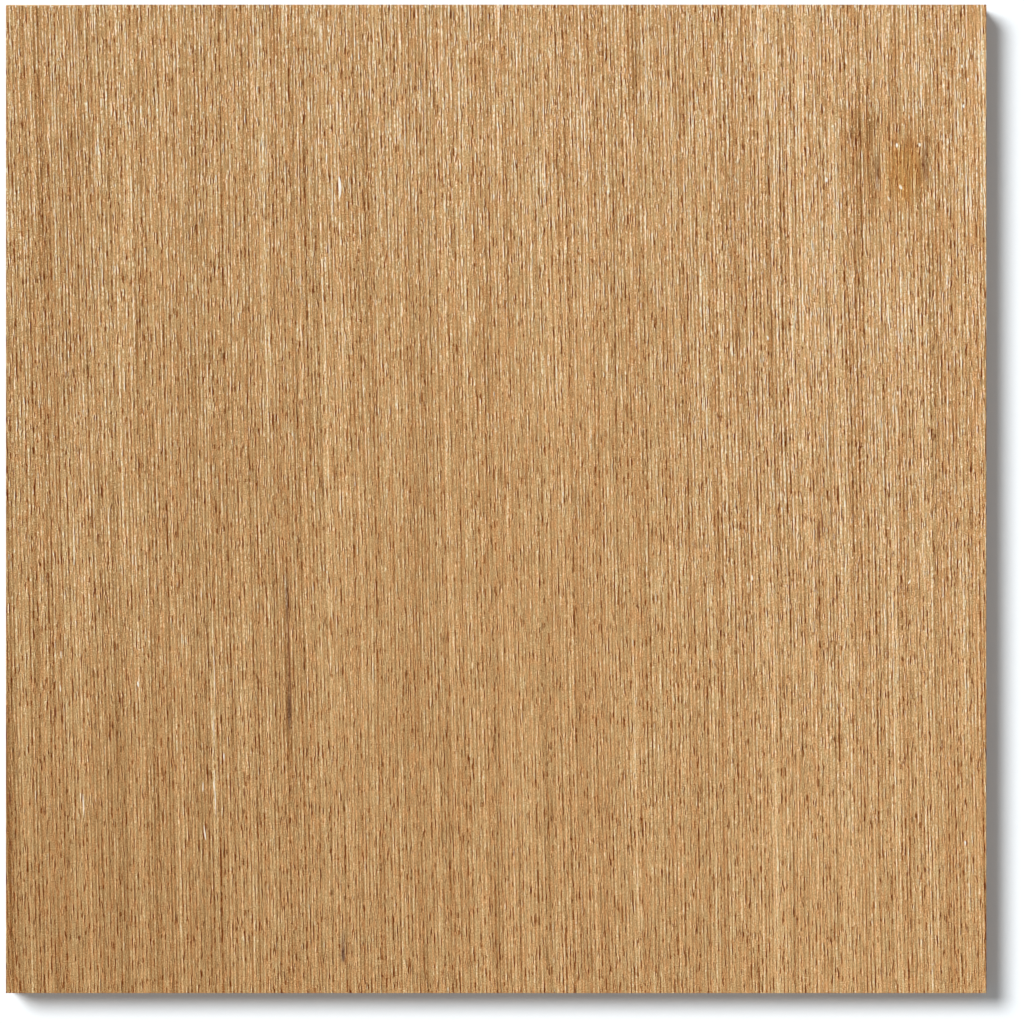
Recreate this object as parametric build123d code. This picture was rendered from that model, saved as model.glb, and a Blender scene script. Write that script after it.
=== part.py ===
"""A square sample panel of decorative plywood, built from its seven glued veneers.

Frame, in millimetres: the panel lies flat with its decorative face up (+Z). The origin is the
middle of the underside. +Y runs along the grain of the decorative face, and +X across it.
"""

import os

from build123d import *

# Driving sizes of the cut panel, in millimetres.
panel_width = 200.0  # across the face grain
panel_length = 201.6  # along the face grain

# Thickness of each kind of veneer, pressed and sanded.
face_veneer_thickness = 0.6
crossband_thickness = 1.4
inner_ply_thickness = 1.6
core_ply_thickness = 1.8
back_veneer_thickness = 0.6

# All four outer edges of both outer veneers are eased with one pass of fine abrasive.
face_arris = 0.15
back_arris = 0.25

# The lay-up, from the underside to the decorative face. Neighbours cross at right angles, and the
# plies pair off about the core, which keeps the panel flat.
lay_up = [
    ("back_veneer", back_veneer_thickness),
    ("back_crossband", crossband_thickness),
    ("lower_inner_ply", inner_ply_thickness),
    ("core_ply", core_ply_thickness),
    ("upper_inner_ply", inner_ply_thickness),
    ("face_crossband", crossband_thickness),
    ("face_veneer", face_veneer_thickness),
]


def sawn_outline():
    """The outline that the saw gives every ply at once, in the plane of the panel."""
    return Rectangle(panel_width, panel_length)


def ply(underside, thickness):
    """One veneer: the sawn outline, raised from its underside by its own thickness."""
    return Pos(0, 0, underside) * extrude(sawn_outline(), thickness)


def ease_upper_arris(veneer, width):
    """Takes the sharp edge off the four sides of a veneer's upper face."""
    return chamfer(veneer.faces().sort_by(Axis.Z)[-1].edges(), width)


def ease_lower_arris(veneer, width):
    """Takes the sharp edge off the four sides of a veneer's lower face."""
    return chamfer(veneer.faces().sort_by(Axis.Z)[0].edges(), width)


def press_panel():
    """Lays each ply on the one below it and returns them by name."""
    plies = {}
    underside = 0.0
    for name, thickness in lay_up:
        plies[name] = ply(underside, thickness)
        underside += thickness
    plies["face_veneer"] = ease_upper_arris(plies["face_veneer"], face_arris)
    plies["back_veneer"] = ease_lower_arris(plies["back_veneer"], back_arris)
    return plies


def write_parts(plies):
    """Writes one STEP file for each ply."""
    os.makedirs("parts", exist_ok=True)
    for name, solid in plies.items():
        export_step(solid, f"parts/{name}.step")


write_parts(press_panel())
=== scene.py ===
# %% [markdown]
# # A sample panel of decorative plywood
# The object is a square cut from a sheet of plywood, seen from straight above. Seven veneers are
# glued on each other with their grain crossed, and only the top one is chosen for its looks.
# That face is a straight-grained veneer: its maker glued hundreds of thin leaves of wood into a
# block and sliced the block across, so every leaf now shows as one fine line.
# The CAD model holds the seven veneers at their real size. This script gives them their looks.

# %% Load the panel
import math

import bmesh
import bpy
from mathutils import Matrix, Vector, noise


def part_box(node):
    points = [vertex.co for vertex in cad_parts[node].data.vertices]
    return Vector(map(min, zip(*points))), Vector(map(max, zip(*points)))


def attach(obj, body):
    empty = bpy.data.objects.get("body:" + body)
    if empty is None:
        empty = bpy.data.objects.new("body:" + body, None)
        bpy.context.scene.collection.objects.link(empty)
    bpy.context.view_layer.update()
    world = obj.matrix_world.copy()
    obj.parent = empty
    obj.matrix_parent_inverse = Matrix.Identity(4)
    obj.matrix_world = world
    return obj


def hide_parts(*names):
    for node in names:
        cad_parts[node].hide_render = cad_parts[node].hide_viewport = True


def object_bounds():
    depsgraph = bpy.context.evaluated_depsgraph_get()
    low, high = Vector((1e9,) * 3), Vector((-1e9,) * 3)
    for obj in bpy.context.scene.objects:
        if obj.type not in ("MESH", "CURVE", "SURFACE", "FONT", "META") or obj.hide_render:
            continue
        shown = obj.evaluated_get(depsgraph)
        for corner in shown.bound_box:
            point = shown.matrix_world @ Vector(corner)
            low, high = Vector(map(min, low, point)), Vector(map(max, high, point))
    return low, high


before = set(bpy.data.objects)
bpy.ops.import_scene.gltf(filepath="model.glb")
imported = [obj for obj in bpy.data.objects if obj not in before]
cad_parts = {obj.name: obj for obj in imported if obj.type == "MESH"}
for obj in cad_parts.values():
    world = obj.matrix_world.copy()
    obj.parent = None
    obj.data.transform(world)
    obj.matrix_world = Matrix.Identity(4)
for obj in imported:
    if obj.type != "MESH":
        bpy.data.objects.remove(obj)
cad_low, cad_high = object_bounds()
print("The panel measures", [round(side * 1000, 2) for side in cad_high - cad_low], "mm")

# %% [markdown]
# The panel's own sizes come from the CAD nodes, so that nothing here has to be fitted by eye.
# Wood is easier to think about in millimetres, so every length below is given in them, and
# `metre` turns a length into Blender's unit when it is needed.

# %% Sizes read from the veneers
metre = 0.001
face_low, face_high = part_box("face_veneer")
panel_width = (face_high.x - face_low.x) / metre
panel_length = (face_high.y - face_low.y) / metre
panel_thickness = (cad_high.z - cad_low.z) / metre
face_bottom = face_low.z / metre
face_top = face_high.z / metre
print("The face veneer is", round(face_top - face_bottom, 2), "mm thick")

# %% [markdown]
# ## The camera
# The picture is taken from straight above with a long lens, so the edges stay parallel and no
# side of the panel shows. The panel fills the frame from 5.8 to 986.5 pixels across, which gives
# the width of the view. A shift of the lens could put the panel off centre, but moving the whole
# camera sideways does the same with a long lens, and keeps the other views centred.

# %% Place the camera over the panel
frame_pixels = 1024.0
panel_left_pixel = 5.8
panel_right_pixel = 986.5
panel_top_pixel = 4.5
panel_bottom_pixel = 993.2
pixel = panel_width / (panel_right_pixel - panel_left_pixel)
lens_length = 200.0
sensor_width = 36.0

camera_data = bpy.data.cameras.new("overhead_camera")
camera_data.lens = lens_length
camera_data.sensor_width = sensor_width
camera_data.clip_end = 20.0
camera = bpy.data.objects.new("overhead_camera", camera_data)
bpy.context.scene.collection.objects.link(camera)
bpy.context.scene.camera = camera
bpy.context.scene.view_settings.view_transform = "Standard"
camera_height = frame_pixels * pixel * lens_length / sensor_width
camera_right = (frame_pixels - panel_left_pixel - panel_right_pixel) / 2 * pixel
camera_down = (frame_pixels - panel_top_pixel - panel_bottom_pixel) / 2 * pixel
camera.location = Vector((camera_right, -camera_down, face_top + camera_height)) * metre
print("One pixel covers", round(pixel, 4), "mm of the face")

# %% [markdown]
# ## The light
# A soft shadow lies along the right and lower edges, so the light comes from the upper left. The
# edge is 9 mm high and the middle of its shadow falls about 5 mm to the right and 4 mm down, which
# gives the lamp's direction. The shadow fades over some 4 mm, so the lamp is wide. A sun lamp has
# one direction over the whole panel, like a large studio lamp far away, and its angle sets how
# soft the shadow is. The world fills the shadow. Together they light a flat surface at a level of
# one, at which a colour renders as it is written.

# %% Hang the lamp and light the world
shadow_right = 5.1
shadow_down = 3.7
lamp_softness = math.radians(24.0)
world_share = 0.2

shadow_reach = math.hypot(shadow_right, shadow_down)
lamp_elevation = math.atan2(panel_thickness, shadow_reach)
lamp_data = bpy.data.lights.new("studio_lamp", "SUN")
lamp_data.angle = lamp_softness
lamp_data.energy = math.pi * (1.0 - world_share) / math.sin(lamp_elevation)
lamp = bpy.data.objects.new("studio_lamp", lamp_data)
bpy.context.scene.collection.objects.link(lamp)
towards_shadow = Vector((shadow_right, -shadow_down, -panel_thickness))
lamp.rotation_euler = towards_shadow.to_track_quat("-Z", "Y").to_euler()
print("The lamp stands", round(math.degrees(lamp_elevation), 1), "degrees above the horizon")


def seen_directly(nodes, links):
    """One where the camera looks, also through a gloss or a clear thing, and zero elsewhere."""
    path = nodes.new("ShaderNodeLightPath")
    rays = path.outputs["Is Camera Ray"]
    for kind in ("Is Glossy Ray", "Is Transmission Ray"):
        either = nodes.new("ShaderNodeMath")
        either.operation = "MAXIMUM"
        links.new(rays, either.inputs[0])
        links.new(path.outputs[kind], either.inputs[1])
        rays = either.outputs[0]
    return rays


world = bpy.data.worlds.new("studio_air")
bpy.context.scene.world = world
world.use_nodes = True
world_nodes = world.node_tree.nodes
world_links = world.node_tree.links
air = world_nodes["Background"]
air.inputs["Color"].default_value = (1.0, 1.0, 1.0, 1.0)
air_level = world_nodes.new("ShaderNodeMapRange")
air_level.inputs["To Min"].default_value = world_share
air_level.inputs["To Max"].default_value = 1.0
world_links.new(seen_directly(world_nodes, world_links), air_level.inputs["Value"])
world_links.new(air_level.outputs["Result"], air.inputs["Strength"])

# %% [markdown]
# ## The floor
# The panel lies on a plain white table that fades into a white background. The floor is a matte
# sheet that keeps the shadow. Where the camera sees it, a trace of glow lifts the lit part to a
# clean white. Red-brown light from the panel's edge would tint the shadow, so there the sheet is
# seen a trace cooler. The light that it throws back on the panel stays that of pale paper.

# %% Lay the floor
floor_reach = 6.0
floor_paper = (0.8, 0.8, 0.8, 1.0)
floor_seen = (0.95, 1.0, 1.035, 1.0)
floor_glow = 0.065

floor_form = bmesh.new()
bmesh.ops.create_grid(floor_form, x_segments=1, y_segments=1, size=floor_reach)
floor_mesh = bpy.data.meshes.new("floor")
floor_form.to_mesh(floor_mesh)
floor_form.free()
floor = bpy.data.objects.new("floor", floor_mesh)
bpy.context.scene.collection.objects.link(floor)

paper = bpy.data.materials.new("white_paper")
paper.use_nodes = True
paper_nodes = paper.node_tree.nodes
paper_links = paper.node_tree.links
paper_shader = paper_nodes["Principled BSDF"]
paper_shader.inputs["Roughness"].default_value = 1.0
paper_shader.inputs["Specular IOR Level"].default_value = 0.0
paper_shader.inputs["Emission Color"].default_value = (1.0, 1.0, 1.0, 1.0)
paper_seen = seen_directly(paper_nodes, paper_links)
paper_tone = paper_nodes.new("ShaderNodeMix")
paper_tone.data_type = "RGBA"
paper_tone.inputs[6].default_value = floor_paper
paper_tone.inputs[7].default_value = floor_seen
paper_links.new(paper_seen, paper_tone.inputs["Factor"])
paper_links.new(paper_tone.outputs[2], paper_shader.inputs["Base Color"])
paper_glow = paper_nodes.new("ShaderNodeMath")
paper_glow.operation = "MULTIPLY"
paper_glow.inputs[1].default_value = floor_glow
paper_links.new(paper_seen, paper_glow.inputs[0])
paper_links.new(paper_glow.outputs[0], paper_shader.inputs["Emission Strength"])
floor_mesh.materials.append(paper)
print("The floor is", 2 * floor_reach, "m wide")

# %% [markdown]
# ## A small kit for finishes
# Each finish below is a sum of patterns: lines, fibres, pores and stains. In the node editor that
# becomes a web of Math nodes. Here a `Field` stands for a number that varies over the surface,
# and adding or multiplying two fields makes the Math node for it, so a finish reads as a formula.

# %% Fields and finishes


def srgb(red, green, blue):
    """The linear colour of a shade given from 0 to 255, as a picture editor shows it."""
    shares = [part / 255.0 for part in (red, green, blue)]
    return [s / 12.92 if s <= 0.04045 else ((s + 0.055) / 1.055) ** 2.4 for s in shares]


class Field:
    """A number at each point of a surface."""

    def __init__(self, finish, socket):
        self.finish = finish
        self.socket = socket

    def combined(self, operation, *others):
        node = self.finish.nodes.new("ShaderNodeMath")
        node.operation = operation
        for socket, value in zip(node.inputs, (self, *others)):
            self.finish.feed(socket, value)
        return Field(self.finish, node.outputs[0])

    def __add__(self, other):
        return self.combined("ADD", other)

    def __sub__(self, other):
        return self.combined("SUBTRACT", other)

    def __mul__(self, other):
        return self.combined("MULTIPLY", other)

    def __truediv__(self, other):
        return self.combined("DIVIDE", other)

    def squeezed(self, low, high, out_low=0.0, out_high=1.0):
        """Goes smoothly from out_low to out_high as the field goes from low to high."""
        node = self.finish.nodes.new("ShaderNodeMapRange")
        node.interpolation_type = "SMOOTHSTEP"
        for socket, value in zip(node.inputs, (self, low, high, out_low, out_high)):
            self.finish.feed(socket, value)
        return Field(self.finish, node.outputs["Result"])


class Finish:
    """One procedural material on one Principled shader."""

    def __init__(self, name):
        self.material = bpy.data.materials.new(name)
        self.material.use_nodes = True
        self.nodes = self.material.node_tree.nodes
        self.links = self.material.node_tree.links
        self.shader = self.nodes["Principled BSDF"]

    def feed(self, socket, value):
        if isinstance(value, Field):
            value = value.socket
        if isinstance(value, bpy.types.NodeSocket):
            self.links.new(value, socket)
        else:
            socket.default_value = value

    def position(self):
        """The place on the piece in millimetres: across the face, along it, and up."""
        place = self.nodes.new("ShaderNodeTexCoord")
        grown = self.nodes.new("ShaderNodeVectorMath")
        grown.operation = "SCALE"
        grown.inputs["Scale"].default_value = 1.0 / metre
        self.links.new(place.outputs["Object"], grown.inputs[0])
        split = self.nodes.new("ShaderNodeSeparateXYZ")
        self.links.new(grown.outputs[0], split.inputs[0])
        return [Field(self, split.outputs[axis]) for axis in "XYZ"]

    def facing(self):
        """Which way the surface faces: across the panel, along it, and up."""
        place = self.nodes.new("ShaderNodeTexCoord")
        split = self.nodes.new("ShaderNodeSeparateXYZ")
        self.links.new(place.outputs["Normal"], split.inputs[0])
        return [Field(self, split.outputs[axis]) for axis in "XYZ"]

    def written(self, name):
        """A number that the points of the mesh carry."""
        reader = self.nodes.new("ShaderNodeAttribute")
        reader.attribute_name = name
        return Field(self, reader.outputs["Fac"])

    def noise(self, across, along, seed, detail=0.0, roughness=0.5):
        """Smooth noise from about -1 to 1, one cell for each unit across and along."""
        place = self.nodes.new("ShaderNodeCombineXYZ")
        self.feed(place.inputs["X"], across)
        self.feed(place.inputs["Y"], along)
        moved = self.nodes.new("ShaderNodeVectorMath")
        moved.operation = "ADD"
        moved.inputs[1].default_value = (seed * 17.31, seed * 9.73, 0.0)
        self.links.new(place.outputs[0], moved.inputs[0])
        cloud = self.nodes.new("ShaderNodeTexNoise")
        cloud.noise_dimensions = "2D"
        cloud.normalize = False
        cloud.inputs["Scale"].default_value = 1.0
        cloud.inputs["Detail"].default_value = detail
        cloud.inputs["Roughness"].default_value = roughness
        self.links.new(moved.outputs[0], cloud.inputs["Vector"])
        return Field(self, cloud.outputs[0])

    def lottery(self, number):
        """Three random numbers from 0 to 1 for each whole number."""
        draw = self.nodes.new("ShaderNodeTexWhiteNoise")
        draw.noise_dimensions = "1D"
        self.feed(draw.inputs["W"], number)
        split = self.nodes.new("ShaderNodeSeparateColor")
        self.links.new(draw.outputs["Color"], split.inputs[0])
        return [Field(self, split.outputs[part]) for part in ("Red", "Green", "Blue")]

    def ramp(self, field, stops):
        """A colour for each level of the field, with even steps between the stops."""
        node = self.nodes.new("ShaderNodeValToRGB")
        elements = node.color_ramp.elements
        while len(elements) < len(stops):
            elements.new(0.5)
        for element, (level, colour) in zip(elements, stops):
            element.position = level
            element.color = (*colour, 1.0)
        self.feed(node.inputs[0], field)
        return node.outputs["Color"]

    def mix(self, share, under, over):
        """Blends two colours, with share as the part of the second."""
        node = self.nodes.new("ShaderNodeMix")
        node.data_type = "RGBA"
        self.feed(node.inputs["Factor"], share)
        self.feed(node.inputs[6], under)
        self.feed(node.inputs[7], over)
        return node.outputs[2]

    def multiply(self, colour, glass):
        """The colour as it looks through coloured glass."""
        node = self.nodes.new("ShaderNodeVectorMath")
        node.operation = "MULTIPLY"
        self.feed(node.inputs[0], colour)
        self.feed(node.inputs[1], glass)
        return node.outputs[0]

    def relief(self, height):
        """Bends the light as a height in millimetres would."""
        node = self.nodes.new("ShaderNodeBump")
        node.inputs["Distance"].default_value = metre
        self.feed(node.inputs["Height"], height)
        self.links.new(node.outputs[0], self.shader.inputs["Normal"])


print("The kit of fields and finishes is ready")

# %% [markdown]
# ## The lie of the leaves
# The leaves of the face are 0.75 mm thick, and they don't run quite parallel to the panel's edge:
# they lean to the right on their way down, a little more on the left side than on the right. The
# same formula places the ridges of the mesh and the colours of the finish, so the two agree.

# %% Where each leaf lies
leaf_thickness = 0.745
lean_in_middle = 0.0205
lean_change = -0.00004


def leaf_place(across, along):
    """How far a point lies across the block of leaves, in millimetres. It holds numbers or fields."""
    return across + along * (across * lean_change + lean_in_middle)


def across_of(place, along):
    """Where a given place in the block of leaves crosses a given height of the panel."""
    return (place - along * lean_in_middle) / (1.0 + along * lean_change)


print("The leaves drift", round(panel_length * lean_in_middle, 2), "mm over the panel's length")

# %% [markdown]
# ## Streaks, quiet areas and a stain
# No real board is even. Some bundles of leaves come from darker or paler logs and show as long
# streaks, the wood is livelier on the right than in the middle, something left a golden stain
# near the upper right corner, and a few leaves have turned grey along part of their length. Each
# of these is an oval on the face, given by where it lies, how far it reaches and how much it
# changes. They are kept as numbers on the points of the mesh, which a finish can read, and cost
# nothing when the picture is computed.

# %% Ovals on the face
streaks = [
    # across, along, half width, half length, change of tone
    (76.2, 70.0, 1.1, 24.0, -20.0),
    (74.2, 62.6, 1.0, 30.0, -16.0),
    (83.8, 69.6, 1.0, 16.0, -14.0),
    (86.8, 63.3, 1.1, 24.0, -14.0),
    (-99.6, -44.7, 1.2, 68.0, -30.0),
    (60.1, 45.7, 0.7, 60.0, 20.0),
    (28.1, 91.9, 0.9, 13.0, -22.0),
    (57.9, -23.1, 1.0, 66.0, -20.0),
    (56.0, 43.8, 0.9, 48.0, -18.0),
    (53.8, 9.4, 0.9, 28.0, -17.0),
    (66.0, -19.5, 0.9, 36.0, -16.0),
    (99.0, 83.4, 1.0, 24.0, 20.0),
    (54.0, 84.7, 0.9, 24.0, 18.0),
    (-47.3, 52.2, 0.9, 58.0, 22.0),
    (-34.5, 0.0, 0.9, 76.0, 20.0),
    (-42.4, -36.0, 0.8, 34.0, -12.0),
    (-57.7, -52.0, 0.7, 34.0, 14.0),
    (79.3, 70.1, 12.0, 17.0, -8.0),
    (74.8, 74.9, 3.4, 5.0, -14.0),
    (-91.0, 66.0, 16.0, 60.0, -7.0),
    (56.0, 60.0, 14.0, 32.0, -6.0),
]
lively_areas = [
    # across, along, half width, half length, change of contrast
    (72.0, 25.0, 44.0, 110.0, 0.24),
    (80.0, 66.0, 22.0, 34.0, -0.10),
    (81.5, 67.0, 11.0, 15.0, -0.26),
    (-5.0, -25.0, 50.0, 80.0, -0.14),
    (-85.0, -75.0, 40.0, 60.0, -0.10),
    (-92.0, 10.0, 24.0, 90.0, 0.10),
    (-14.0, 84.0, 84.0, 46.0, 0.09),
]
# The stain and each grey mark: across, along, half width, half length, strength.
stain = (83.2, 66.4, 5.2, 8.4, 1.2)
grey_marks = [
    (-42.7, -19.6, 0.5, 7.0, 0.75),
    (-42.4, -34.0, 0.5, 19.0, 0.35),
    (-42.2, -43.4, 0.6, 5.2, 0.9),
    (-31.2, -91.0, 0.6, 4.4, 0.7),
    (-31.2, -93.3, 0.6, 1.6, 1.0),
    (77.7, 67.0, 0.8, 5.4, 0.5),
    (87.4, 69.0, 0.9, 5.8, 0.55),
]


def oval_share(across, along, oval):
    """One in the middle of an oval that leans with the leaves, and smoothly zero at its rim."""
    middle_across, middle_along, half_width, half_length, _ = oval
    off_across = leaf_place(across, along) - leaf_place(middle_across, middle_along)
    off_along = along - middle_along
    share = max(0.0, 1.0 - (off_across / half_width) ** 2 - (off_along / half_length) ** 2)
    return share * share * (3.0 - 2.0 * share)


def oval_sum(across, along, ovals):
    """What a list of ovals changes at one point."""
    return sum(oval_share(across, along, oval) * oval[-1] for oval in ovals)


print("The face has", len(streaks), "streaks and", len(lively_areas), "areas of their own")

# %% [markdown]
# ## The face veneer as a mesh
# Real veneer isn't flat: sanding wears the soft side of each leaf a little deeper than the hard
# side, so the face is ribbed. Bump alone could show that, but ribs of real geometry also hold in
# the mesh itself. A grid gets two columns of points for each leaf, one on its crest and one in
# its groove, and is sheared along the leaves. It starts wider than the panel, so that the leaning
# columns reach every corner. At the far left corner the saw tore some fibres out, so the last row
# of points there is drawn back from the edge.

# %% Grow the ribbed sheet
grid_rows = 168
rib_depth = 0.035
crest_depth = 0.015
lean_margin = 0.03
# across, along, half width, half length, depth
torn_corner = (-94.0, 100.8, 12.0, 3.0, 0.3)

grid_width = panel_width + 2 * lean_margin * panel_length
columns = int(grid_width / (leaf_thickness / 2))
sheet = bmesh.new()
bmesh.ops.create_grid(sheet, x_segments=columns, y_segments=grid_rows, size=0.5)
half_width = panel_width / 2
half_length = panel_length / 2
for point in sheet.verts:
    column = round((point.co.x + 0.5) * columns)
    place = (column - columns // 2) * leaf_thickness / 2
    along = point.co.y * panel_length
    crest = column % 2
    swell = noise.noise(Vector((place / 3.0, along / 14.0, 0.0)))
    depth = rib_depth * (1.0 - crest) * (0.75 + 0.5 * swell) + crest_depth * (1.0 - swell)
    across = across_of(place, along)
    torn = oval_share(across, along, torn_corner) * torn_corner[-1]
    along -= torn * (1.0 + 0.5 * noise.noise(Vector((place / 0.9, 0.0, 3.0))))
    point.co = Vector((across, along, face_top - depth - torn * 0.3))
print("The sheet has", columns, "columns of", grid_rows, "faces")

# %% [markdown]
# Two cutting planes now trim the sheet to the panel's width, just as a saw does. Then every point
# learns what the ovals change at its place.

# %% Trim the sheet and write the ovals on it


def saw(form, edge_point, outward):
    """Cuts the form along a plane and drops what lies outside it."""
    everything = form.verts[:] + form.edges[:] + form.faces[:]
    bmesh.ops.bisect_plane(
        form, geom=everything, dist=1e-5, plane_co=edge_point, plane_no=outward, clear_outer=True
    )


# The drift is partly the wood's own tone and partly painted fall-off of the light: the veneer turns
# brighter toward the right and darkest at the lower left.
drift_across = 0.08
drift_along = 0.032
drift_twist = -0.0003
for side in (-1.0, 1.0):
    saw(sheet, Vector((side * half_width, 0.0, 0.0)), Vector((side, 0.0, 0.0)))
broad_tone = sheet.verts.layers.float.new("broad_tone")
liveliness = sheet.verts.layers.float.new("liveliness")
stained = sheet.verts.layers.float.new("stained")
marked = sheet.verts.layers.float.new("marked")
for point in sheet.verts:
    across, along = point.co.xy
    drift = across * drift_across + along * drift_along + across * along * drift_twist
    point[broad_tone] = drift + oval_sum(across, along, streaks)
    point[liveliness] = 1.0 + oval_sum(across, along, lively_areas)
    point[stained] = oval_sum(across, along, [stain])
    point[marked] = oval_sum(across, along, grey_marks)
print("The trimmed sheet has", len(sheet.faces), "faces")

# %% [markdown]
# So far the veneer is a surface without thickness. A real one is 0.6 mm thick and shows its edge,
# so the rim is drawn down to the glue line and closed underneath. Sandpaper takes the sharp corner
# off the two long sides: two slanted cuts do that here. The edges at the rim are marked as sharp,
# or the shading of the flat face would bend down over them.

# %% Turn the sheet into a solid veneer
arris = 0.15
sharp_angle = math.radians(34.0)

rim = [edge for edge in sheet.edges if edge.is_boundary]
skirt = bmesh.ops.extrude_edge_only(sheet, edges=rim)["geom"]
for part in skirt:
    if isinstance(part, bmesh.types.BMVert):
        part.co.z = face_bottom
foot = [edge for edge in skirt if isinstance(edge, bmesh.types.BMEdge) and edge.is_boundary]
bmesh.ops.contextual_create(sheet, geom=foot)
for side in (-1.0, 1.0):
    saw(sheet, Vector((side * half_width, 0.0, face_top - arris)), Vector((side, 0.0, 1.0)))
    open_edges = [edge for edge in sheet.edges if edge.is_boundary]
    bmesh.ops.holes_fill(sheet, edges=open_edges, sides=0)
bmesh.ops.recalc_face_normals(sheet, faces=sheet.faces[:])
for edge in sheet.edges:
    edge.smooth = edge.calc_face_angle(0.0) < sharp_angle
print("The solid veneer has", len(sheet.verts), "points")

# %% [markdown]
# When a finish is painted into a picture, a map tells which part of that picture lies on which
# face. A plain map would share the picture among all six sides alike. This map gives nearly all
# of it to the show face, a thin strip to each edge, and one corner to the glued side that nobody
# sees.

# %% Map the veneer for the export
map_share = 0.972
strip_share = 0.004
hidden_share = 0.02
strip_gap = 0.006

map_layer = sheet.loops.layers.uv.new("OFBake")
for face in sheet.faces:
    normal = face.normal
    face.smooth = abs(normal.z) > 0.5
    for corner in face.loops:
        share_across = corner.vert.co.x / panel_width + 0.5
        share_along = corner.vert.co.y / panel_length + 0.5
        share_up = (corner.vert.co.z - face_bottom) / (face_top - face_bottom)
        if normal.z > 0.5:
            spot = (share_across * map_share, share_along * map_share)
        elif normal.z < -0.5:
            spot = (1.0 - share_across * hidden_share, 1.0 - share_along * hidden_share)
        else:
            on_long_side = abs(normal.x) > abs(normal.y)
            strip = 1 + (normal.x > 0.0) if on_long_side else 3 + (normal.y > 0.0)
            share = share_along if on_long_side else share_across
            strip_foot = map_share + strip * strip_gap - strip_share
            spot = (share * map_share, strip_foot + share_up * strip_share)
        corner[map_layer].uv = spot
print("The map gives the show face", round(map_share ** 2 * 100), "% of the picture")

# %% [markdown]
# ## The face finish
# The pattern is a sum of tones. Each leaf has a dark line and a pale line that run on steadily,
# grow a little stronger and weaker on the way, and flicker where single fibres leave the cut. Each
# leaf also has a shade of its own, drawn by lottery, and starts its fibres at a place of its own,
# so that no two leaves look alike. No block is glued quite evenly, so three noises shift the lines:
# one over many leaves, one from leaf to leaf, and one by a hair. Over that lie fibres of three
# lengths and broad soft bands, all stretched along the grain. It is kept as one number, because in
# real veneer light and dark differ along one family of browns, and one colour ramp can turn that
# number into wood later on.

# %% Tones of the leaves and fibres
start_reach = 400.0
line_contrast = 15.5

face_finish = Finish("straight_grain_veneer")
across, along, _ = face_finish.position()
wander = face_finish.noise(across / 14.0, along / 130.0, 1) * 0.55
squeeze = face_finish.noise(across / 2.4, along / 170.0, 2) * 0.12
waver = face_finish.noise(across / 0.9, along / 1.6, 15) * 0.02
place = leaf_place(across, along) + wander + squeeze + waver
leaf_count = place / leaf_thickness
leaf_number = leaf_count.combined("FLOOR")
leaf_tone, leaf_shift, leaf_hue = face_finish.lottery(leaf_number)
leaf_wave = (leaf_count * (2 * math.pi)).combined("COSINE")
own_along = along + leaf_shift * start_reach

leaf_cell = leaf_number * 3.7
next_cell = (leaf_count + 0.5).combined("FLOOR") * 3.7
dark_core = (leaf_wave * -0.5 + 0.5).combined("POWER", 2.0)
bright_core = (leaf_wave * 0.5 + 0.5).combined("POWER", 2.0)


def line_strength(cell, seed):
    """How strongly the line of a leaf shows along its way."""
    swell = face_finish.noise(cell, own_along / 80.0, seed, 2.0, 0.6)
    return swell.squeezed(-0.5, 0.9, 0.55, 1.25)


def fibres(width, length, seed):
    """Streaks along the grain from about -1 to 1, of a width and a length in millimetres."""
    return face_finish.noise(place / width, own_along / length, seed)


bright_strength = line_strength(next_cell, 16)
dark_strength = line_strength(leaf_cell, 3)
lines = bright_core * bright_strength - dark_core * dark_strength
flicker = fibres(0.6, 1.6, 22) * 1.2 + 1.0
line_tone = lines * flicker * line_contrast
leaf_own_tone = leaf_tone * 22.0 - 8.9
short_fibres = fibres(0.17, 0.24, 4) * 50.0
middle_fibres = fibres(0.55, 3.0, 5) * 9.5
long_fibres = fibres(0.22, 80.0, 6) * 18.0
bands = face_finish.noise(place / 2.6, along / 110.0, 7, 1.0) * 8.0

print("The finish has", len(face_finish.nodes), "nodes for its leaves and fibres")

# %% [markdown]
# Cut wood is never only smooth bands. Its vessels show as short dark strokes, and beside them
# short pale strokes are painted where the lit walls of the pores would shine. Each stroke is the
# peak of a noise that is stretched along the grain: only what rises above a threshold shows. Dark
# ticks keep to the dark side of a leaf and pale beads to its pale side, as early and late wood do,
# and both crowd where its lines are strong. A glint is a painted highlight: the lit wall of a pore
# drawn in pale colour, so it lies just beside one. Chains are pale fibres broken into beads, and
# seams are thin dark ones.

# %% Pores and cream fibres
pore_width = 0.26
pore_length = 3.6
# The painted highlight of a pore lies this far left of it, in millimetres.
painted_glint_offset = 0.22

tick_cloud = face_finish.noise(leaf_cell, own_along / 2.6, 17, 1.0)
tick_crowd = fibres(1.2, 5.0, 18) * 0.25
dark_crowd = tick_cloud + tick_crowd + dark_strength * 0.45
ticks = dark_crowd.squeezed(0.81, 0.93) * dark_core * dark_core
bead_cloud = face_finish.noise(next_cell, own_along / 0.95, 19, 1.0)
pale_crowd = bead_cloud + tick_crowd + bright_strength * 0.45
beads = pale_crowd.squeezed(0.77, 0.92) * bright_core


def pore_cloud(shift):
    """The cloud whose peaks are pores. Shifted, it places painted highlights just left of them."""
    cloud = face_finish.noise((place + shift) / pore_width, own_along / pore_length, 8, 1.0, 0.5)
    return cloud - leaf_wave * 0.05


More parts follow.
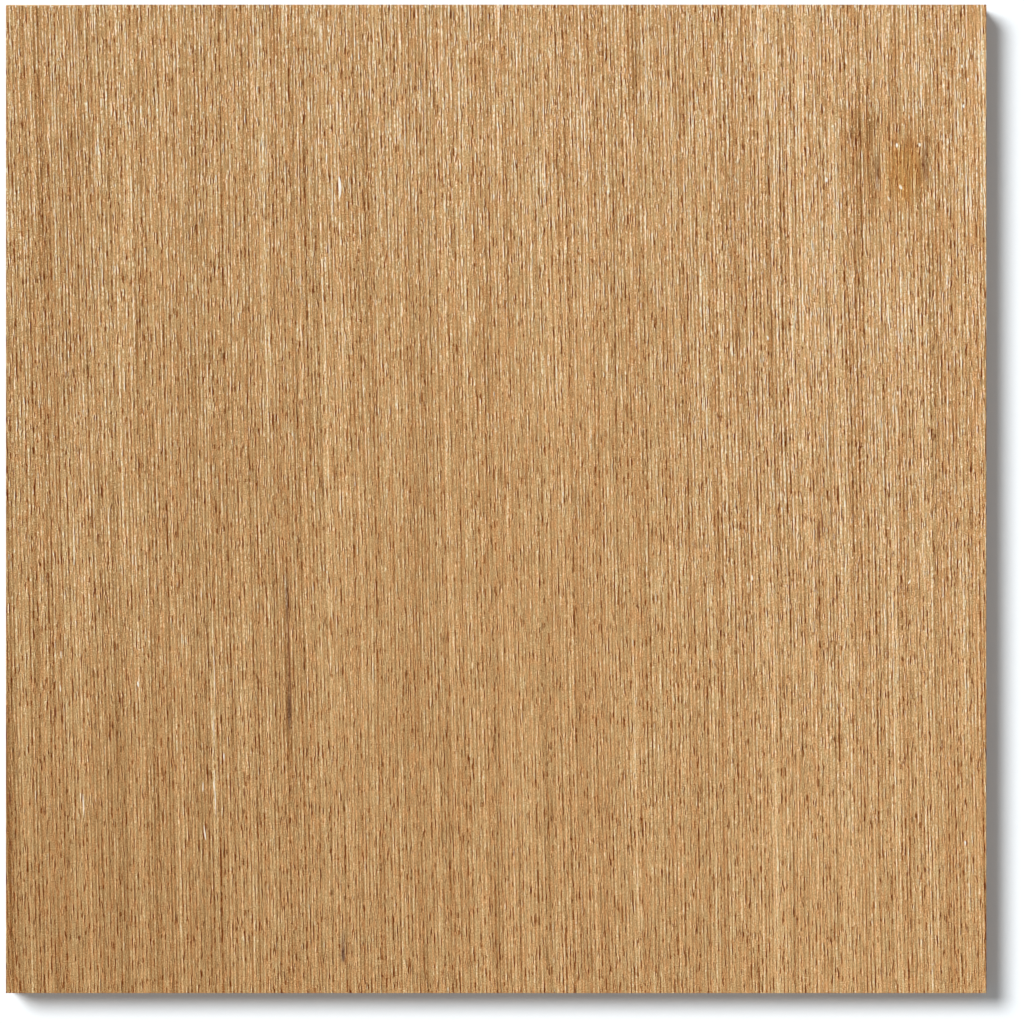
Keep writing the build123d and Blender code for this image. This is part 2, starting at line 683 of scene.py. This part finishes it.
near_pores = pore_cloud(0.0)
pores = near_pores.squeezed(0.49, 0.58)
# Glints are painted highlights: pale colour where the lit wall of a pore would shine.
painted_glints = pore_cloud(painted_glint_offset).squeezed(0.52, 0.60)
chain_cloud = fibres(0.2, 13.0, 10) + leaf_wave * 0.1
chain_beads = fibres(0.5, 0.6, 11) * 0.8 + 0.8
chains = chain_cloud.squeezed(0.40, 0.60) * chain_beads
seam_cloud = fibres(0.2, 10.0, 14) - leaf_wave * 0.1
seams = seam_cloud.squeezed(0.42, 0.62)
print("A pore is about", pore_width, "mm wide and", pore_length, "mm long")

# %% [markdown]
# All strokes now add up to one number, the tone. Where the ovals make the wood livelier the grain
# counts for more. The slow changes from one side of the panel to the other are added last. Part of
# them is painted fall-off of the light, darkest at the lower left, over the wood's own tone.

# %% The sum of the tones
grain_strength = face_finish.written("liveliness")
grain_tone = line_tone + leaf_own_tone + short_fibres + middle_fibres + long_fibres
# The pale strokes include the glints, highlights painted in colour beside the pores.
pale_strokes_and_painted_glints = beads * 51.0 + chains * 57.0 + painted_glints * 58.0
dark_strokes = ticks * 78.0 + pores * 90.0 + seams * 31.0
pale_share = along * 0.004 + 0.95
lively_grain = (grain_tone + pale_strokes_and_painted_glints * pale_share - dark_strokes) * grain_strength
slow_tone = bands + face_finish.written("broad_tone")
tone = lively_grain + slow_tone
print("The finish now has", len(face_finish.nodes), "nodes")

# %% [markdown]
# One ramp gives a colour to every tone. Wood also drifts between a redder and a yellower brown at
# the same tone, most of all in its pores, so the ramp is made twice, once cooler and once warmer,
# and the two are blended by a pattern of their own. The stain lies on top like golden glass, and
# the grey marks like smoked glass.

# %% Colours of the face
tone_range = 110.0
wood_tones = [
    (-105, (90, 36, 6)),
    (-75, (114, 63, 18)),
    (-37, (154, 107, 58)),
    (-15, (177, 131, 83)),
    (5, (196, 150, 98)),
    (25, (213, 169, 115)),
    (52, (240, 203, 151)),
    (80, (255, 234, 195)),
    (105, (255, 246, 226)),
]
hue_reach = (7, -2, -4)
clear_glass = (1.0, 1.0, 1.0, 1.0)
golden_glass = (0.93, 0.82, 0.60, 1.0)
smoked_glass = (0.34, 0.32, 0.44, 1.0)


def wood_ramp(finish, level, turn):
    """Wood colours from pore to cream, turned a little warmer or cooler."""
    stops = []
    for height, shade in wood_tones:
        turned = [part + turn * reach for part, reach in zip(shade, hue_reach)]
        stops.append(((height + tone_range) / (2 * tone_range), srgb(*turned)))
    return finish.ramp(level, stops)


level = tone / (2 * tone_range) + 0.5
hue_cloud = face_finish.noise(place / 0.36, own_along / 2.4, 12, 1.0)
hue_patches = face_finish.noise(place / 1.6, along / 9.0, 13, 1.0)
hue_drift = across * 0.001 + along * 0.0004 + 0.28
fine_hue = near_pores * 0.6 + ticks * 0.9 + hue_cloud * 0.65
hue = fine_hue + hue_patches * 0.2 + leaf_hue * 0.3 + hue_drift
cool_wood = wood_ramp(face_finish, level, -1.0)
warm_wood = wood_ramp(face_finish, level, 1.0)
veneer_colour = face_finish.mix(hue, cool_wood, warm_wood)
stain_strength = face_finish.written("stained") * (hue_patches * 0.5 + 0.8)
stain_glass = face_finish.mix(stain_strength, clear_glass, golden_glass)
stained_colour = face_finish.multiply(veneer_colour, stain_glass)
mark_strength = face_finish.written("marked") * (hue_cloud * 0.5 + 0.9)
mark_glass = face_finish.mix(mark_strength, clear_glass, smoked_glass)
marked_colour = face_finish.multiply(stained_colour, mark_glass)
face_finish.feed(face_finish.shader.inputs["Base Color"], marked_colour)
face_finish.shader.inputs["Roughness"].default_value = 0.7
face_finish.shader.inputs["Specular IOR Level"].default_value = 0.1
fibre_relief = (short_fibres + middle_fibres + long_fibres) * 0.0002
face_finish.relief(fibre_relief + leaf_wave * 0.004 + chains * 0.01 - pores * 0.03)

# %% [markdown]
# The veneer and its finish are ready, so the form becomes an object. It was drawn in millimetres
# and shrinks to metres on the way, while the object itself stays at the origin, neither turned nor
# scaled, so that the CAD and the looks share one place. It rides with the panel and is seen in place
# of the plain CAD veneer. The slivers further down are laid on the panel in the same way.

# %% Lay the face veneer on the panel


def as_piece(form, name, material):
    """Makes the form an object in metres that rides with the panel."""
    bmesh.ops.scale(form, vec=(metre, metre, metre), verts=form.verts[:])
    mesh = bpy.data.meshes.new(name)
    form.to_mesh(mesh)
    form.free()
    mesh.materials.append(material)
    piece = bpy.data.objects.new(name, mesh)
    bpy.context.scene.collection.objects.link(piece)
    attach(piece, "root")
    return piece


face_piece = as_piece(sheet, "straight_grain_face", face_finish.material)
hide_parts("face_veneer")
print("The face veneer has", len(face_piece.data.polygons), "faces")

# %% [markdown]
# ## Lifted and broken fibres
# Slicing lifts a fibre here and there. Its pale inside catches the light as a tiny sliver, and
# where one broke off for good its groove fills with dark dust. These are things on the face and
# not part of its pattern, so they are modelled: each is a flat spindle less than a millimetre wide,
# narrow at both ends, and sunk in the veneer so that only its back shows. Along the far edge the
# saw left a fringe of short torn fibres, about one every two millimetres, which a loop adds.

# %% Slivers on the face
flatness = 0.12
chip_shape = 0.4
end_taper = 0.35
mottle_length = 0.8
pale_slivers = [
    # across, along, half width, half length, turn in degrees
    (81.7, 72.1, 0.29, 0.50, 0),
    (86.3, 72.2, 0.26, 0.42, 10),
    (82.5, 63.6, 0.33, 0.56, 24),
    (80.1, 61.2, 0.20, 0.58, 22),
    (67.2, 65.1, 0.36, 0.56, 0),
    (95.4, 80.1, 0.26, 0.42, 0),
    (96.2, 85.4, 0.20, 0.42, 8),
    (95.0, 88.2, 0.20, 0.42, 0),
    (94.2, 75.7, 0.20, 0.44, 0),
    (91.3, 73.4, 0.14, 1.20, 0),
    (70.4, 59.7, 0.12, 0.70, 0),
    (55.4, 32.8, 0.16, 0.50, 6),
    (49.7, 25.7, 0.15, 0.40, 0),
    (81.9, 21.6, 0.15, 0.40, 0),
    (52.2, -16.1, 0.16, 0.60, 4),
    (84.2, -17.0, 0.16, 0.44, -24),
    (58.3, -2.3, 0.14, 0.60, 6),
    (-84.2, -62.4, 0.14, 2.30, 1),
    (-73.0, -37.8, 0.20, 0.60, 6),
    (-88.7, -31.8, 0.14, 0.80, 2),
    (-88.9, -38.6, 0.14, 0.80, 4),
    (-55.5, -52.6, 0.14, 0.90, 0),
    (-59.8, -58.8, 0.13, 1.10, -3),
    (-59.4, -68.1, 0.15, 1.60, 6),
    (-57.5, -35.0, 0.07, 5.6, 1),
    (-57.6, -47.0, 0.07, 4.4, 0),
    (-57.3, -60.2, 0.08, 5.0, 1),
    (-57.5, -58.6, 0.13, 1.30, 5),
    (-32.0, 63.6, 0.34, 2.30, 1),
    (95.6, -70.2, 0.20, 0.50, 0),
    (95.9, 64.0, 0.13, 4.00, 1),
]
dark_slivers = [
    # across, along, half width, half length, turn in degrees
    (92.5, 71.5, 0.16, 0.64, 4),
    (66.9, 63.8, 0.18, 0.50, 0),
    (87.0, 68.1, 0.20, 0.42, 0),
    (85.9, 72.0, 0.14, 0.40, 8),
    (95.5, 59.6, 0.13, 4.60, 1),
    (-32.35, 63.4, 0.13, 1.60, 1),
    (87.4, -75.7, 0.16, 0.60, 4),
    (83.8, -76.5, 0.16, 0.50, 0),
    (65.9, -6.6, 0.18, 2.40, 0),
    (66.5, -5.0, 0.16, 3.20, 2),
    (95.95, -70.2, 0.24, 0.60, 0),
    (-54.2, -59.4, 0.17, 2.20, 0),
    (-51.4, -60.0, 0.15, 1.20, 0),
    (-42.2, -32.8, 0.11, 12.0, 1),
    (-76.3, -41.4, 0.16, 1.20, 0),
    (-89.8, -43.5, 0.15, 1.40, 2),
    (-99.2, -61.0, 0.18, 1.60, 3),
]
fringe_count = 88
fringe_start = -98.0
fringe_pitch = 2.25
fringe_along = 100.42
fringe_half_length = 0.3
fringe_turn = 40.0
for step in range(fringe_count):
    stray = noise.noise(Vector((step * 3.1, 0.0, 7.0)))
    fringe_across = fringe_start + step * fringe_pitch + stray
    fringe_half_width = 0.13 + 0.05 * stray
    pale_slivers.append(
        (fringe_across, fringe_along, fringe_half_width, fringe_half_length, stray * fringe_turn)
    )


def sliver_form(slivers, drop):
    """Spindles along the grain, their backs a given drop below the top of the panel."""
    form = bmesh.new()
    tone = form.verts.layers.float.new("sliver_tone")
    for number, (across, along, half_wide, half_long, turn) in enumerate(slivers):
        spindle = bmesh.ops.create_uvsphere(form, u_segments=8, v_segments=8, radius=1.0)["verts"]
        bend = noise.noise(Vector((across, along, 1.0))) * half_wide
        for point in spindle:
            from_middle = point.co.z
            pointed = 1.0 - end_taper * from_middle * from_middle
            aside = point.co.x * half_wide * pointed + bend * (1.0 - from_middle * from_middle)
            height = math.copysign(abs(point.co.y) ** chip_shape, point.co.y) * half_wide * flatness
            point.co = Vector((aside, from_middle * half_long, height))
            mottle = noise.noise(Vector((number * 7.7, from_middle * half_long / mottle_length, 0.0)))
            point[tone] = mottle + (half_wide - 0.1) * 2.0
        lean = math.radians(turn) + math.atan(lean_in_middle)
        middle = face_top - drop - half_wide * flatness
        bmesh.ops.rotate(form, verts=spindle, matrix=Matrix.Rotation(lean, 3, "Z"))
        bmesh.ops.translate(form, verts=spindle, vec=(across, along, middle))
    for face in form.faces:
        face.smooth = True
    bmesh.ops.recalc_face_normals(form, faces=form.faces[:])
    return form


pale_form = sliver_form(pale_slivers, 0.001)
dark_form = sliver_form(dark_slivers, 0.002)
print("There are", len(pale_slivers), "pale slivers and", len(dark_slivers), "dark ones")

# %% [markdown]
# A sliver is bare wood, so its finish is a plain ramp along the fibre: from wood colour to nearly
# white for the lifted ones, and from dark brown to red-brown for the dusty ones.

# %% Finishes of the slivers


def sliver_finish(name, stops, roughness):
    """Streaks along the fibre between the given shades."""
    finish = Finish(name)
    across, along, _ = finish.position()
    own_tone = finish.written("sliver_tone")
    fibre = finish.noise(across / 0.09, along / 0.7, 21, 1.0)
    level = own_tone * 0.5 + fibre * 0.5 + 0.5
    colour = finish.ramp(level, [(at, srgb(*shade)) for at, shade in stops])
    finish.feed(finish.shader.inputs["Base Color"], colour)
    finish.shader.inputs["Roughness"].default_value = roughness
    finish.shader.inputs["Specular IOR Level"].default_value = 0.25
    finish.relief(fibre * 0.004)
    return finish


pale_stops = [(0.1, (226, 196, 150)), (0.45, (246, 230, 200)), (0.8, (252, 248, 238))]
dark_stops = [(0.1, (92, 46, 22)), (0.5, (122, 66, 34)), (0.9, (146, 92, 56))]
pale_finish = sliver_finish("lifted_fibre", pale_stops, 0.55)
dark_finish = sliver_finish("broken_fibre", dark_stops, 0.8)
pale_piece = as_piece(pale_form, "lifted_fibres", pale_finish.material)
dark_piece = as_piece(dark_form, "broken_fibres", dark_finish.material)
print("The slivers have", len(pale_piece.data.polygons) + len(dark_piece.data.polygons), "faces")

# %% [markdown]
# ## The hidden plies and the back
# Under the face the grain of each ply crosses that of its neighbours. A sawn edge therefore shows
# two looks in turn: where a ply's fibres run along the edge it is pale and streaked, and where they
# end at the edge it is darker and full of pores. A line of brown glue parts the plies, and peeling
# leaves small slanted checks. The finish works out from the surface's own direction which of the
# two looks it needs, so one function serves every ply.

# %% Finish of a hidden ply
glue_reach = 0.07


def ply_finish(name, low, high, grain_along, seed):
    """The sawn edge of one ply between two heights, its grain along or across the panel."""
    finish = Finish(name)
    across, along, up = finish.position()
    facing_across, facing_along, facing_up = finish.facing()
    if grain_along:
        fibre_way, other_way, end_facing = along, across, facing_along
    else:
        fibre_way, other_way, end_facing = across, along, facing_across
    end_share = end_facing.combined("ABSOLUTE").squeezed(0.4, 0.7)
    streak = finish.noise(other_way / 0.5 + up / 0.16, fibre_way / 14.0, seed, 2.0)
    fleck = finish.noise(up / 0.14 + other_way / 2.0, fibre_way / 1.4, seed + 1, 1.0)
    pore = finish.noise(other_way / 0.2, up / 0.3, seed + 2, 1.0).squeezed(0.1, 0.4)
    check = finish.noise((other_way + up * 0.9) / 0.16, up / 2.5 + other_way / 9.0, seed + 3)
    checks = check.squeezed(0.45, 0.6)
    saw_marks = finish.noise((fibre_way + other_way) / 0.35, up / 5.0, seed + 4, 1.0)
    patches = finish.noise((fibre_way + other_way) / 21.0, up / 3.0, seed + 5, 1.0)
    long_tone = streak * 0.16 + fleck * 0.12
    end_tone = pore * -0.2 - checks * 0.3 - 0.2
    mixed = long_tone + (end_tone - long_tone) * end_share
    from_glue = (up - low).combined("MINIMUM", up * -1.0 + high)
    waver = finish.noise((fibre_way + other_way) / 1.1, seed * 1.0, seed + 6, 1.0) * 0.03
    glue_line = (from_glue + waver).squeezed(glue_reach * 0.3, glue_reach, 1.0, 0.0)
    glue = glue_line * facing_up.combined("ABSOLUTE").squeezed(0.5, 0.8, 1.0, 0.0)
    level = mixed + saw_marks * 0.07 + patches * 0.12 - glue * 0.45 + 0.69
    colour = finish.ramp(level, [
        (0.0, srgb(74, 44, 26)),
        (0.25, srgb(122, 82, 52)),
        (0.5, srgb(176, 132, 92)),
        (0.75, srgb(208, 170, 124)),
        (1.0, srgb(230, 200, 158)),
    ])
    finish.feed(finish.shader.inputs["Base Color"], colour)
    finish.feed(finish.shader.inputs["Roughness"], end_share * 0.12 - glue * 0.2 + 0.74)
    finish.shader.inputs["Specular IOR Level"].default_value = 0.2
    finish.relief(streak * 0.01 + saw_marks * 0.012 - checks * 0.03 - glue * 0.02)
    return finish.material


plies = [
    ("back_crossband", False, "cross_ply", 30),
    ("lower_inner_ply", True, "long_ply", 40),
    ("core_ply", False, "cross_ply", 50),
    ("upper_inner_ply", True, "long_ply", 60),
    ("face_crossband", False, "cross_ply", 70),
]
for node, grain_along, slot, seed in plies:
    ply_low, ply_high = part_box(node)
    material = ply_finish(
        node + "_wood", ply_low.z / metre, ply_high.z / metre, grain_along, seed
    )
    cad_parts[node].data.materials.clear()
    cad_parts[node].data.materials.append(material)
print("Finished", len(plies), "hidden plies")

# %% [markdown]
# The back is peeled veneer, the cheapest kind: a log turns against a long knife and the wood comes
# off like paper from a roll. The knife follows the growth rings, so they show as broad waving
# flames instead of fine lines. The finish bends a set of rings with slow noise to get them.

# %% Finish of the back veneer
ring_thickness = 7.5
cut_slope = 0.35

back_finish = Finish("peeled_back_veneer")
across, along, _ = back_finish.position()
slow_bend = back_finish.noise(across / 55.0, along / 190.0, 80, 2.0, 0.4) * 46.0
ring_count = (across * cut_slope + slow_bend) / ring_thickness
ring = ring_count - ring_count.combined("FLOOR")
late_wood = ring.squeezed(0.55, 0.98) - ring.squeezed(0.98, 1.0)
back_fibre = back_finish.noise(across / 0.35, along / 16.0, 81, 3.0)
back_pores = back_finish.noise(across / 0.22, along / 2.2, 82, 1.0).squeezed(0.35, 0.6)
back_cloud = back_finish.noise(across / 40.0, along / 70.0, 83, 2.0)
sanding = back_finish.noise(across / 0.8, along / 45.0, 84)
back_level = back_fibre * 0.16 + back_cloud * 0.12 - late_wood * 0.22 - back_pores * 0.2 + 0.66
back_colour = back_finish.ramp(back_level, [
    (0.0, srgb(112, 72, 44)),
    (0.3, srgb(160, 114, 76)),
    (0.6, srgb(196, 152, 110)),
    (0.85, srgb(216, 178, 136)),
    (1.0, srgb(230, 200, 162)),
])
back_finish.feed(back_finish.shader.inputs["Base Color"], back_colour)
back_finish.feed(back_finish.shader.inputs["Roughness"], sanding * 0.08 + 0.68)
back_finish.shader.inputs["Specular IOR Level"].default_value = 0.2
back_finish.relief(back_fibre * 0.01 - back_pores * 0.03 + sanding * 0.01)
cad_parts["back_veneer"].data.materials.clear()
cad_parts["back_veneer"].data.materials.append(back_finish.material)
print("The back veneer has growth rings about", round(ring_thickness / cut_slope), "mm apart")
